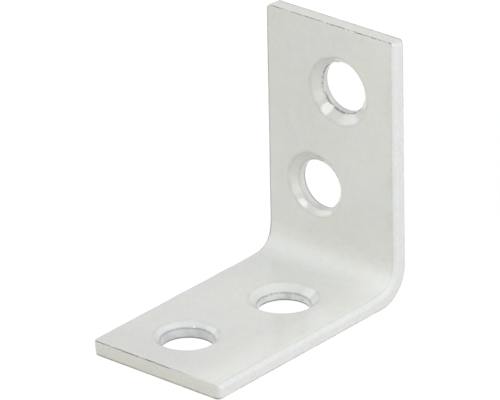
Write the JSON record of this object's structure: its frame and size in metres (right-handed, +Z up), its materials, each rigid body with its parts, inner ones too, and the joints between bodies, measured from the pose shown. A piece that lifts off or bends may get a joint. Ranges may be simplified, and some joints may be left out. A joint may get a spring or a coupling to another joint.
{
  "type": "angle bracket",
  "caption": "L-shaped bracket folded from flat steel strip, with staggered countersunk screw holes in each leg, for joining panels or timber at a right angle.",
  "frame": {"origin": "middle of the footprint, on the surface that the base leg lies on", "axes": "+X along the base leg, from the fold to its free end; +Y across the strip; +Z up the wall leg"},
  "size_m": [0.0254, 0.0144, 0.025],
  "materials": {
    "bracket": "satin"
  },
  "bodies": {
    "root": {"bracket": "bracket"}
  },
  "joints": []
}
